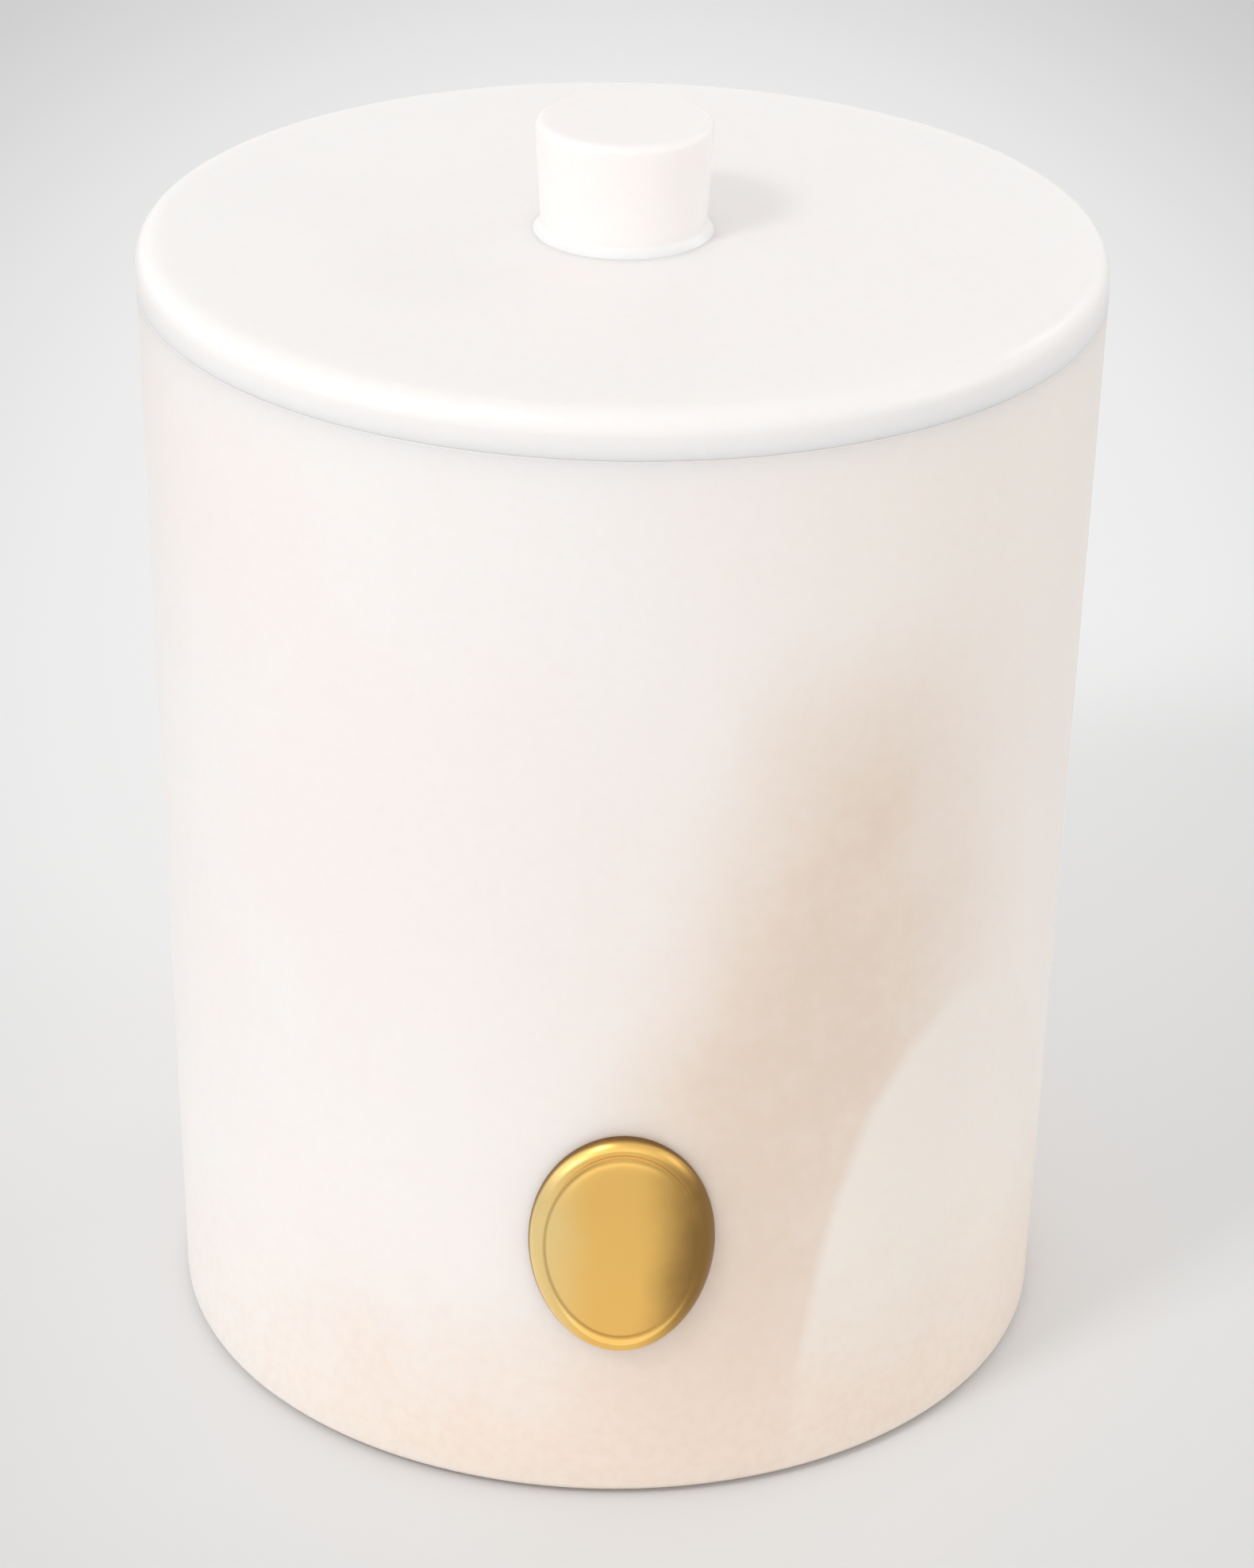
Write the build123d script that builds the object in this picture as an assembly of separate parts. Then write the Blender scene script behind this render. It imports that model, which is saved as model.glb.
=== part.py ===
from build123d import *
import os

# A scented candle in a turned alabaster vessel with a lift-off stone lid. The wax is poured in a glass
# refill cup, which stands in the vessel on a felt disc and lifts out when the lid is off. A plain oval
# badge is glued on the front, which is the -Y side. Millimetres, +Z up. The origin is the centre of the
# underside, on the surface that the candle stands on.

# ---- Vessel: a tapered stone cup ----
RIM_R = 45.0  # outside radius at the rim
TAPER = 1.8  # how much smaller that radius is at the base
VESSEL_H = 106.7  # stone alone, from its base to its rim
WALL_T = 8.0  # at the rim
FLOOR_T = 6.5
BASE_ROUND = 1.6
RIM_ROUND = 0.7
COVE_ROUND = 3.0  # where the cavity's wall meets its floor

# ---- Felt under the stone and under the glass ----
PAD_INSET = 7.2  # from the stone's edge in to the recess for the pad
PAD_T = 1.5
PAD_PROUD = 0.5  # how far the pad stands out below the stone
PAD_FIT = 0.3  # radial gap round the pad
CUSHION_T = 1.0
CUSHION_INSET = 0.5  # the cushion stops this far short of the cove

# ---- Lid: a flat stone disc with a plug below it ----
LID_T = 4.4  # from the rim to the lid's top face
LID_ROUND = 2.2  # top edge
SEAM_ROUND = 0.5  # lower edge
PLUG_DEPTH = 5.0
PLUG_FIT = 0.7  # radial gap from the plug to the mouth
PLUG_CHAMFER = 1.0

# ---- Silicone ring in the plug's groove ----
SEAL_WIRE_R = 0.9  # radius of the ring's own round section
SEAL_GAP = 0.15  # from the ring to the mouth's wall
GROOVE_EASE = 0.05

# ---- Knob: a short cone, wider at its top, with a spigot glued into the lid ----
KNOB_TOP_R = 8.3
KNOB_TAPER = 0.6  # how much smaller its waist is
KNOB_FLARE = 0.7  # how far its foot spreads beyond the waist
KNOB_FLARE_H = 0.9
KNOB_H = 10.7
KNOB_ROUND = 0.8
SPIGOT_R = 3.5
SPIGOT_L = 3.5
SPIGOT_FIT = 0.05
SPIGOT_END_GAP = 0.3

# ---- Glass refill cup ----
GLASS_FIT = 0.5  # radial gap from the glass to the cavity
GLASS_WALL = 2.0
GLASS_FLOOR = 4.0
GLASS_INNER_ROUND = 2.5
GLASS_LIP_GAP = 1.0  # from the glass's lip up to the plug

# ---- Wax, wick and the tab that holds the wick ----
HEADSPACE = 10.8  # from the wax up to the glass's lip
WICK_R = 1.4
WICK_GAP = 3.0  # from the wick's tip up to the plug
TAB_R = 10.0
TAB_T = 0.5
TAB_NECK_WALL = 0.4
TAB_NECK_H = 5.5
STICKER_R = 9.0
STICKER_T = 1.0

# ---- Badge: an upright oval with a raised border, its back bent to the vessel ----
BADGE_W = 17.2
BADGE_H = 23.0
BADGE_MID_H = 28.6  # from the stone's base up to the badge's middle
BADGE_T = 2.2  # in the middle
BADGE_BEND_R = 16.0  # the front's bend about an upright axis
BADGE_SWELL_R = 60.0  # the front's bend from top to bottom
BORDER_W = 1.3
BORDER_PROUD = 0.3
GLUE_T = 0.2
GLUE_INSET = 0.8

# ---- Radii and heights worked out from the sizes above ----
BASE_R = RIM_R - TAPER
CAVITY_R = RIM_R - WALL_T
PAD_RECESS_R = BASE_R - PAD_INSET
PLUG_R = CAVITY_R - PLUG_FIT
SEAL_R = CAVITY_R - SEAL_GAP - SEAL_WIRE_R
GLASS_R = CAVITY_R - GLASS_FIT
WAX_R = GLASS_R - GLASS_WALL
STONE_Z = PAD_PROUD
FLOOR_Z = STONE_Z + FLOOR_T
RIM_Z = STONE_Z + VESSEL_H
LID_TOP_Z = RIM_Z + LID_T
KNOB_TOP_Z = LID_TOP_Z + KNOB_H
PLUG_Z = RIM_Z - PLUG_DEPTH
SEAL_Z = RIM_Z - (PLUG_DEPTH - PLUG_CHAMFER) / 2
GLASS_Z = FLOOR_Z + CUSHION_T
GLASS_LIP_Z = PLUG_Z - GLASS_LIP_GAP
WAX_Z = GLASS_Z + GLASS_FLOOR
WAX_TOP_Z = GLASS_LIP_Z - HEADSPACE
WICK_TOP_Z = PLUG_Z - WICK_GAP
TAB_Z = WAX_Z + STICKER_T
BADGE_Z = STONE_Z + BADGE_MID_H
FAR = 2 * RIM_R  # longer than anything that it has to cut through


def turned(*corners):
    """Turns a solid about Z from its half outline, given as corners of (radius, height, round)."""
    face = make_face(Polyline(*[(r, z) for r, z, _ in corners], close=True))
    for r, z, size in corners:
        if size:
            face = fillet(face.vertices().sort_by_distance((r, z, 0))[0], size)
    return revolve(Plane.XZ * face, Axis.Z)


def ring(inner_r, outer_r, low_z, high_z):
    """A plain ring, or a disc where the inner radius is 0."""
    return turned((inner_r, low_z, 0), (outer_r, low_z, 0), (outer_r, high_z, 0), (inner_r, high_z, 0))


# ---- Vessel and what is fixed to it ----
def vessel():
    return turned(
        (0, PAD_T, 0),
        (PAD_RECESS_R, PAD_T, 0),
        (PAD_RECESS_R, STONE_Z, 0),
        (BASE_R, STONE_Z, BASE_ROUND),
        (RIM_R, RIM_Z, RIM_ROUND),
        (CAVITY_R, RIM_Z, RIM_ROUND),
        (CAVITY_R, FLOOR_Z, COVE_ROUND),
        (0, FLOOR_Z, 0),
    )


def base_pad():
    return ring(0, PAD_RECESS_R - PAD_FIT, 0, PAD_T)


def insert_cushion():
    return ring(0, CAVITY_R - COVE_ROUND - CUSHION_INSET, FLOOR_Z, GLASS_Z)


def stone_cone(extra_r=0):
    """The vessel's tapered outside as a solid cone, wider by extra_r."""
    return turned((0, STONE_Z, 0), (BASE_R + extra_r, STONE_Z, 0), (RIM_R + extra_r, RIM_Z, 0), (0, RIM_Z, 0))


def badge_block(inset):
    """The badge's oval outline, made smaller by the inset, pushed from the axis out through the front."""
    facing_front = Plane(origin=(0, 0, BADGE_Z), x_dir=(1, 0, 0), z_dir=(0, -1, 0))
    return extrude(facing_front * Ellipse(BADGE_W / 2 - inset, BADGE_H / 2 - inset), FAR)


def badge_front(extra_r=0):
    """A barrel with an upright axis, whose near side is the badge's rounded front."""
    middle_r = BASE_R + TAPER * BADGE_MID_H / VESSEL_H
    front_y = -(middle_r + GLUE_T + BADGE_T)
    belly_r = BADGE_BEND_R + extra_r
    end_r = belly_r - BADGE_SWELL_R + (BADGE_SWELL_R**2 - BADGE_H**2) ** 0.5
    side = ThreePointArc((end_r, -BADGE_H), (belly_r, 0), (end_r, BADGE_H))
    half = make_face(side + Polyline((end_r, BADGE_H), (0, BADGE_H), (0, -BADGE_H), (end_r, -BADGE_H)))
    return Pos(0, front_y + BADGE_BEND_R, BADGE_Z) * revolve(Plane.XZ * half, Axis.Z)


def badge():
    field = badge_block(0) & badge_front()
    border = (badge_block(0) - badge_block(BORDER_W)) & badge_front(BORDER_PROUD)
    return field + border - stone_cone(GLUE_T)


def badge_glue():
    return badge_block(GLUE_INSET) & (stone_cone(GLUE_T) - stone_cone())


# ---- Refill that lifts out ----
def glass_cup():
    lip_round = 0.45 * GLASS_WALL
    return turned(
        (0, GLASS_Z, 0),
        (GLASS_R, GLASS_Z, COVE_ROUND + GLASS_FIT),
        (GLASS_R, GLASS_LIP_Z, lip_round),
        (WAX_R, GLASS_LIP_Z, lip_round),
        (WAX_R, WAX_Z, GLASS_INNER_ROUND),
        (0, WAX_Z, 0),
    )


def wick_sticker():
    return ring(0, STICKER_R, WAX_Z, TAB_Z)


def wick_tab():
    disc_z = TAB_Z + TAB_T
    neck_z = disc_z + TAB_NECK_H
    neck_r = WICK_R + TAB_NECK_WALL
    return turned(
        (WICK_R, TAB_Z, 0),
        (TAB_R, TAB_Z, 0),
        (TAB_R, disc_z, 0),
        (neck_r, disc_z, 0),
        (neck_r, neck_z, 0),
        (WICK_R, neck_z, 0),
    )


def wick():
    return ring(0, WICK_R, TAB_Z, WICK_TOP_Z)


def wax():
    block = turned((0, WAX_Z, 0), (WAX_R, WAX_Z, GLASS_INNER_ROUND), (WAX_R, WAX_TOP_Z, 0), (0, WAX_TOP_Z, 0))
    return block - wick_sticker() - wick_tab() - wick()


# ---- Lid that lifts off ----
def lid():
    body = turned(
        (0, PLUG_Z, 0),
        (PLUG_R - PLUG_CHAMFER, PLUG_Z, 0),
        (PLUG_R, PLUG_Z + PLUG_CHAMFER, 0),
        (PLUG_R, RIM_Z, 0),
        (RIM_R, RIM_Z, SEAM_ROUND),
        (RIM_R, LID_TOP_Z, LID_ROUND),
        (0, LID_TOP_Z, 0),
    )
    groove_half = SEAL_WIRE_R + GROOVE_EASE
    groove = ring(SEAL_R - groove_half, FAR, SEAL_Z - groove_half, SEAL_Z + groove_half)
    socket = ring(0, SPIGOT_R + SPIGOT_FIT, LID_TOP_Z - SPIGOT_L - SPIGOT_END_GAP, LID_TOP_Z)
    return body - groove - socket


def lid_seal():
    return Pos(0, 0, SEAL_Z) * Torus(SEAL_R, SEAL_WIRE_R)


def lid_knob():
    waist_r = KNOB_TOP_R - KNOB_TAPER
    grip = turned(
        (0, LID_TOP_Z, 0),
        (waist_r + KNOB_FLARE, LID_TOP_Z, 0),
        (waist_r, LID_TOP_Z + KNOB_FLARE_H, 0),
        (KNOB_TOP_R, KNOB_TOP_Z, KNOB_ROUND),
        (0, KNOB_TOP_Z, 0),
    )
    return grip + ring(0, SPIGOT_R, LID_TOP_Z - SPIGOT_L, LID_TOP_Z)


PIECES = (
    vessel,
    base_pad,
    insert_cushion,
    badge,
    badge_glue,
    glass_cup,
    wax,
    wick,
    wick_tab,
    wick_sticker,
    lid,
    lid_knob,
    lid_seal,
)

os.makedirs("parts", exist_ok=True)
for make in PIECES:
    solid = make()
    solid.label = make.__name__
    export_step(solid, f"parts/{solid.label}.step")
    size = solid.bounding_box().size
    print(f"{solid.label}: {solid.volume:.0f} mm3, {size.X:.1f} x {size.Y:.1f} x {size.Z:.1f} mm")
print(f"height with the knob {KNOB_TOP_Z:.1f} mm")
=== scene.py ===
# %% [markdown]
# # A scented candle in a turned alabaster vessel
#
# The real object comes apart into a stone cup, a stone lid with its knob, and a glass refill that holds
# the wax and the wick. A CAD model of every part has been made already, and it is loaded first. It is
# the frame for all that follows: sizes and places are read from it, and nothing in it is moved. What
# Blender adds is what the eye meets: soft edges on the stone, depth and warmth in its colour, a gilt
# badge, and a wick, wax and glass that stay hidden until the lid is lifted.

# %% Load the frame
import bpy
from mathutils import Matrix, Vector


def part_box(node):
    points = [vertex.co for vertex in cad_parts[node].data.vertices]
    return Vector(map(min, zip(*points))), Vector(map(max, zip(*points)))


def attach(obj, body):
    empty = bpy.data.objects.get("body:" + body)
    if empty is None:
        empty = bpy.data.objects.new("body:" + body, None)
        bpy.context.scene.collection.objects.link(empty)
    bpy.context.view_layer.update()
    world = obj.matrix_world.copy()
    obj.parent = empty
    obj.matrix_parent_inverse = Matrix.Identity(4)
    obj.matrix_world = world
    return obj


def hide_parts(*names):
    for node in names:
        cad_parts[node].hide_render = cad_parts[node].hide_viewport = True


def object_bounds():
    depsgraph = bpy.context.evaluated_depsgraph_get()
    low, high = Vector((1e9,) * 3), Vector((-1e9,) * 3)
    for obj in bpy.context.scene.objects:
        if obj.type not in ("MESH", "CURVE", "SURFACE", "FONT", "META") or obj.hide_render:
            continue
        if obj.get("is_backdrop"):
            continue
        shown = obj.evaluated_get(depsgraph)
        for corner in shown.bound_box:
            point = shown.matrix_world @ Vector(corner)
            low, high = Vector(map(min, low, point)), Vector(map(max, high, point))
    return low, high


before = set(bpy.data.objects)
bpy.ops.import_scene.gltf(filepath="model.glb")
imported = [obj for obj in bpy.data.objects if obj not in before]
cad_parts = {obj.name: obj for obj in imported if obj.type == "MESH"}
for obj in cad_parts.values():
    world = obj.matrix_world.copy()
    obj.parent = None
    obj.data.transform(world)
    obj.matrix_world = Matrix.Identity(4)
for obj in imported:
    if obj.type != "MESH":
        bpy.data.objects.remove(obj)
cad_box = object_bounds()
print("CAD nodes:", ", ".join(sorted(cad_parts)))

# %% [markdown]
# `bmesh` builds meshes point by point, and `bpy` turns them into objects and makes the materials, the
# lights and the camera. Blender works in metres, so a size in millimetres is a number times `MM`.

# %% The tools, and the unit that sizes are written in
import bmesh
import bpy
from math import cos, exp, hypot, pi, radians, sin, sqrt, tan
from mathutils import Matrix, Vector, noise

MM = 0.001
TURN = 2 * pi

# %% [markdown]
# ## Sizes
# Whatever the frame can say is read from its boxes, so that a changed CAD model brings its pieces along.
# A box gives only the outermost size of a part. What lies inside it, such as a rounding or a groove, has
# a named value next to the piece that it belongs to.

# %% Radii and heights from the frame
RIM_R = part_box("lid")[1].x
STONE_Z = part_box("vessel")[0].z
RIM_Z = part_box("vessel")[1].z
PAD_TOP_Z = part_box("base_pad")[1].z
FLOOR_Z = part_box("insert_cushion")[0].z
GLASS_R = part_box("glass_cup")[1].x
GLASS_FIT = 0.5 * MM  # the gap all round the glass
CAVITY_R = GLASS_R + GLASS_FIT
LID_TOP_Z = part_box("lid")[1].z
PLUG_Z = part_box("lid")[0].z
TAPER = 1.8 * MM
BASE_R = RIM_R - TAPER
print(f"rim {2 * RIM_R / MM:.1f} mm across at {RIM_Z / MM:.1f} mm, lid top at {LID_TOP_Z / MM:.1f} mm")

# %% [markdown]
# ## Turning a piece
# Nearly every part was made on a lathe or in a round mould, so half an outline turned about the axis
# gives its shape. Blender's Screw modifier could do that. Writing the rings of vertices by hand is as
# short, and it decides where they go: a ring close beside each rounded edge keeps its shading crisp, and
# even rings across a wide face leave points that can be pushed about afterwards.
#
# The outline is a list of corners, each with a radius, a height and a rounding. `rounded` puts an arc at
# each rounded corner and `spread` adds points along the straight runs.

# %% From corners to an outline
HOLD = 0.1 * MM  # the ring that stops a rounding's shading from running out over a flat face


def rounded(corners, steps=8):
    """Points of (radius, height) along corners of (radius, height, rounding)."""
    line = []
    for place, (r, z, size) in enumerate(corners):
        corner = Vector((r, z))
        if not size:
            line.append(corner)
            continue
        back = (Vector(corners[place - 1][:2]) - corner).normalized()
        ahead = (Vector(corners[(place + 1) % len(corners)][:2]) - corner).normalized()
        half = back.angle(ahead) / 2
        sweep = pi - 2 * half
        centre = corner + (back + ahead).normalized() * size / sin(half)
        first = corner + back * size / tan(half) - centre
        last = corner + ahead * size / tan(half) - centre
        line.append(centre + first + back * HOLD)
        for step in range(steps + 1):
            part = step / steps * sweep
            line.append(centre + (first * sin(sweep - part) + last * sin(part)) / sin(sweep))
        line.append(centre + last + ahead * HOLD)
    return line


def spread(line, gap):
    """The same line with points added, so that neighbours are no further apart than the gap."""
    full = [line[0]]
    for point in line[1:]:
        start = full[-1]
        count = max(1, round((point - start).length / gap))
        full.extend(start.lerp(point, n / count) for n in range(1, count + 1))
    return full


# %% [markdown]
# The line is then turned about the axis in even steps. Each of its points becomes a ring of vertices, or
# a single vertex on the axis, and faces join every ring to the next. A bmesh holds the shape while it
# grows, and becomes a mesh and an object at the end.

# %% From an outline to a mesh
def finished(name, shape):
    """Makes an object from a bmesh, smooth shaded, and puts it in the scene."""
    bmesh.ops.recalc_face_normals(shape, faces=shape.faces)
    mesh = bpy.data.meshes.new(name)
    shape.to_mesh(mesh)
    shape.free()
    mesh.shade_smooth()
    piece = bpy.data.objects.new(name, mesh)
    bpy.context.scene.collection.objects.link(piece)
    return piece


def lathe(name, line, turns=160, loop=False):
    """Turns a line of (radius, height) points about Z. Points on the axis become a single vertex."""
    shape = bmesh.new()
    rings = []
    for r, z in line:
        around = turns if r > 0.001 * MM else 1
        angles = [TURN * n / turns for n in range(around)]
        rings.append([shape.verts.new((r * sin(a), -r * cos(a), z)) for a in angles])
    pairs = list(zip(rings, rings[1:]))
    if loop:
        pairs.append((rings[-1], rings[0]))
    for low, high in pairs:
        for n in range(turns):
            here = n % len(low), n % len(high)
            beyond = (n + 1) % turns % len(low), (n + 1) % turns % len(high)
            corners = [low[here[0]], low[beyond[0]], high[beyond[1]], high[here[1]]]
            shape.faces.new(list(dict.fromkeys(corners)))
    return finished(name, shape)


# %% [markdown]
# Stone that was finished by hand is never quite true, so `wear` moves points inwards by a smooth noise.
# The noise depends only on the place, so each run gives the same hollows. `fit` says what a piece is:
# the body that carries it, its finish, and the CAD parts that it stands for.

# %% Pushing points about, and handing a piece to its body
SAME_HEIGHT = 0.01 * MM


def wear(piece, depth, size, seed, seat_z=-1.0):
    """Moves points inwards by up to the depth, in soft hollows. Those at the seat's height stay."""
    points = [(point.co.copy(), point.normal.copy()) for point in piece.data.vertices]
    for vertex, (place, normal) in zip(piece.data.vertices, points):
        if abs(place.z - seat_z) < SAME_HEIGHT:
            continue
        hollow = 0.5 + 0.5 * noise.noise(place / size + Vector((seed, seed, seed)))
        vertex.co = place - normal * depth * hollow


def fit(piece, body, slot, finish, *nodes):
    """Gives a piece its material and its CAD body, and hides the CAD nodes that it stands for. The slot is
    not used.
    """
    piece.data.materials.append(finish)
    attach(piece, body)
    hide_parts(*nodes)
    low = Vector(min(v.co[axis] for v in piece.data.vertices) for axis in range(3)) / MM
    high = Vector(max(v.co[axis] for v in piece.data.vertices) for axis in range(3)) / MM
    size = " x ".join(f"{side:.1f}" for side in high - low)
    print(f"{piece.name}: {size} mm, from z {low.z:.1f} to {high.z:.1f}, {len(piece.data.polygons)} faces")


# %% [markdown]
# ## Building materials from nodes
# A material is a small graph: textures make numbers, maths bends them, and colours are mixed by them. All
# textures here read the Object coordinate, which is a place in the stone itself. A vein then runs
# through the block as it does in nature, and shows up again where the surface cuts it elsewhere.
#
# These helpers only save typing. Anything that is the same all over a surface is set straight on the
# Principled shader.

# %% Node helpers
def material(name, **sockets):
    """A new material, with its shader's own sockets set by name."""
    made = bpy.data.materials.new(name)
    made.use_nodes = True
    for socket, value in sockets.items():
        made.node_tree.nodes["Principled BSDF"].inputs[socket.replace("_", " ")].default_value = value
    return made


def feed(made, socket, value):
    """Links an output to a socket, or sets the socket if the value is a plain number or colour."""
    if isinstance(value, bpy.types.NodeSocket):
        made.node_tree.links.new(value, socket)
    else:
        socket.default_value = value


def node(made, kind, settings=None, **sockets):
    new = made.node_tree.nodes.new("ShaderNode" + kind)
    for setting, value in (settings or {}).items():
        setattr(new, setting, value)
    for socket, value in sockets.items():
        feed(made, new.inputs[socket.replace("_", " ")], value)
    return new


def reckon(made, operation, *values):
    """One step of arithmetic on numbers."""
    new = node(made, "Math", {"operation": operation})
    for socket, value in zip(new.inputs, values):
        feed(made, socket, value)
    return new.outputs[0]


def ramp(made, value, start, end):
    """0 before the start and 1 after the end, with a soft rise between them."""
    new = node(made, "MapRange", {"interpolation_type": "SMOOTHSTEP"}, Value=value)
    feed(made, new.inputs["From Min"], start)
    feed(made, new.inputs["From Max"], end)
    return new.outputs[0]


def between(made, share, first, second, blend="MIX"):
    """The colour that lies a share of the way from the first to the second, or to their blend."""
    new = node(made, "Mix", {"data_type": "RGBA", "blend_type": blend})
    for socket, value in ((0, share), (6, first), (7, second)):
        feed(made, new.inputs[socket], value)
    return new.outputs[2]


def grain(made, place, size, detail=3.0, bend=0.0):
    """Soft noise whose lumps are about the given size across."""
    new = node(made, "TexNoise", Vector=place, Scale=1 / size, Detail=detail, Distortion=bend)
    return new.outputs["Fac"]


def object_place(made, shift=(0, 0, 0)):
    """Where a point of the surface is in the object's own space, in metres, moved by the shift."""
    place = node(made, "TexCoord").outputs["Object"]
    moved = node(made, "VectorMath", {"operation": "ADD"})
    feed(made, moved.inputs[0], place)
    feed(made, moved.inputs[1], shift)
    return moved.outputs[0]


def finish_shader(made, colour=None, roughness=None, height=None, depth=0.02 * MM):
    """Joins a colour, a roughness and a surface height to the material's shader."""
    shader = made.node_tree.nodes["Principled BSDF"]
    if colour is not None:
        feed(made, shader.inputs["Base Color"], colour)
    if roughness is not None:
        feed(made, shader.inputs["Roughness"], roughness)
    if height is not None:
        bump = node(made, "Bump", Height=height, Distance=depth)
        feed(made, shader.inputs["Normal"], bump.outputs[0])
    print(f"{made.name}: {len(made.node_tree.nodes)} nodes")


# %% [markdown]
# ## Alabaster
# Alabaster is a soft, fine-grained gypsum. Light goes several millimetres into it before it comes out
# again, so it looks lit from within and its shadows are warm. Subsurface scattering on the Principled
# shader does this, with red light travelling furthest. The colour is built up as in the stone: broad
# clouds of white and rose first, then whatever a block has of its own, then a fine crystal grain. The
# finish is satin: roughness is never the same twice, but it stays well away from a mirror everywhere.

# %% The stone that all three turned pieces share
STONE_WHITE = (0.918, 0.880, 0.858, 1)
STONE_ROSE = (0.920, 0.858, 0.832, 1)
GRAIN_SHADE = (0.940, 0.890, 0.850, 1)  # what the colour is multiplied by in a full speck
CLOUD_SIZE = 34 * MM
ROSE_EDGE = 0.38, 0.64  # the noise's values where rose begins and where it is full
CRYSTAL_SIZE = 1.2 * MM
SPECK_EDGE = 0.36, 0.72
RUBBING_SIZE = 14 * MM
LEAST_ROUGH = 0.285
ROUGHER_BY = 0.12
TOOTH_SIZE = 0.5 * MM
TOOTH_DEPTH = 0.012 * MM
RIPPLE_SIZE = 5 * MM
RIPPLE_SHARE = 2.0  # how much deeper the ripples are than the tooth


def alabaster(name, light_reach):
    return material(
        name,
        IOR=1.52,
        Subsurface_Weight=0.35,
        Subsurface_Radius=(1.0, 0.72, 0.55),
        Subsurface_Scale=light_reach,
    )


def clouded_colour(made, place):
    """White and rosy clouds, broad ones with smaller ones in them."""
    broad = grain(made, place, CLOUD_SIZE, 4, 0.4)
    return between(made, ramp(made, broad, *ROSE_EDGE), STONE_WHITE, STONE_ROSE)


def crystal_grain(made, place, colour, strength):
    """Darkens the colour in fine specks, as strongly as the strength says."""
    specks = ramp(made, grain(made, place, CRYSTAL_SIZE, 4), *SPECK_EDGE)
    share = reckon(made, "MULTIPLY", specks, strength)
    return between(made, share, colour, GRAIN_SHADE, "MULTIPLY")


def honed_surface(made, place, colour):
    """A satin, hand-rubbed finish: its gloss varies and it is never quite level."""
    rubbing = grain(made, place, RUBBING_SIZE, 3)
    roughness = reckon(made, "MULTIPLY_ADD", rubbing, ROUGHER_BY, LEAST_ROUGH)
    tooth = grain(made, place, TOOTH_SIZE, 3)
    ripple = grain(made, place, RIPPLE_SIZE, 2)
    height = reckon(made, "MULTIPLY_ADD", ripple, RIPPLE_SHARE, tooth)
    finish_shader(made, colour, roughness, height, TOOTH_DEPTH)


# %% [markdown]
# ## The vessel's own block
# The cup was cut from a block with two features that show on its front. A warm, ochre cloud drops from
# right of the middle, leans towards the badge as it goes down, and spreads. Below it on the right lies a
# pocket of paler stone with a clean curved edge. Each is a rule on the place in the block: how far a
# point is from the cloud's leaning sheet, and whether it is inside the pocket's long oval.

# %% The ochre cloud
OCHRE = (0.808, 0.675, 0.560, 1)
OCHRE_HAZE = (0.915, 0.830, 0.778, 1)
HAZE_REACH = 18 * MM
CLOUD_LOW_X = 9 * MM  # the sheet's middle at the foot
CLOUD_HIGH_X = 20.5 * MM  # and from the next height upwards, where the sheet stands upright
CLOUD_LEAN_Z = 75 * MM
CLOUD_TOP_Z = 94 * MM
CLOUD_FADE = 22 * MM  # how far down from its top the cloud fades in
CLOUD_HALF = 15 * MM  # half its width high up
CLOUD_SPREAD = 7 * MM  # how much wider that gets
SPREAD_FROM_Z = 95 * MM
SPREAD_TO_Z = 35 * MM
FAINT = 0.65  # its strength high up, and the heights between which that rises to full
FAINT_Z = 85 * MM
FULL_Z = 45 * MM
WANDER_SIZE = 30 * MM
WANDER = 14 * MM
CLOUD_CORE = 1 * MM  # half the width of its strongest part
BLOTCH_SIZE = 7 * MM
FLECK_SIZE = 1.8 * MM
MOTTLING = 0.6
LEAST_MOTTLED = 0.42


def ochre_cloud(made, place):
    """How strongly the cloud and the haze round it show at a place, each from 0 to 1."""
    axes = node(made, "SeparateXYZ", Vector=place)
    x, z = axes.outputs["X"], axes.outputs["Z"]
    lean = ramp(made, z, 0.0, CLOUD_LEAN_Z)
    middle = reckon(made, "MULTIPLY_ADD", lean, CLOUD_HIGH_X - CLOUD_LOW_X, CLOUD_LOW_X)
    wander = reckon(made, "SUBTRACT", grain(made, place, WANDER_SIZE, 4, 0.3), 0.5)
    off = reckon(made, "MULTIPLY_ADD", wander, WANDER, reckon(made, "SUBTRACT", x, middle))
    off = reckon(made, "ABSOLUTE", off)
    low_down = ramp(made, z, SPREAD_FROM_Z, SPREAD_TO_Z)
    half = reckon(made, "MULTIPLY_ADD", low_down, CLOUD_SPREAD, CLOUD_HALF)
    top = ramp(made, z, CLOUD_TOP_Z, CLOUD_TOP_Z - CLOUD_FADE)
    mottle = reckon(made, "MULTIPLY_ADD", grain(made, place, BLOTCH_SIZE, 5), MOTTLING, LEAST_MOTTLED)
    mottle = reckon(made, "MULTIPLY_ADD", grain(made, place, FLECK_SIZE, 4), MOTTLING, mottle)
    strength = reckon(made, "MULTIPLY_ADD", ramp(made, z, FAINT_Z, FULL_Z), 1 - FAINT, FAINT)
    strength = reckon(made, "MULTIPLY", strength, reckon(made, "MULTIPLY", top, mottle))
    core = reckon(made, "MULTIPLY", ramp(made, off, half, CLOUD_CORE), strength)
    haze = reckon(made, "MULTIPLY", ramp(made, off, reckon(made, "ADD", half, HAZE_REACH), 0.0), top)
    return core, haze


# %% [markdown]
# The pocket is an oval in space that the cup's wall cuts through, so its edge on the surface is a clean
# curve. The way from its middle is measured in parts of its reach along each axis. The length of that is
# 1 everywhere on the oval's skin, so one ramp near 1 draws the edge.

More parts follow.
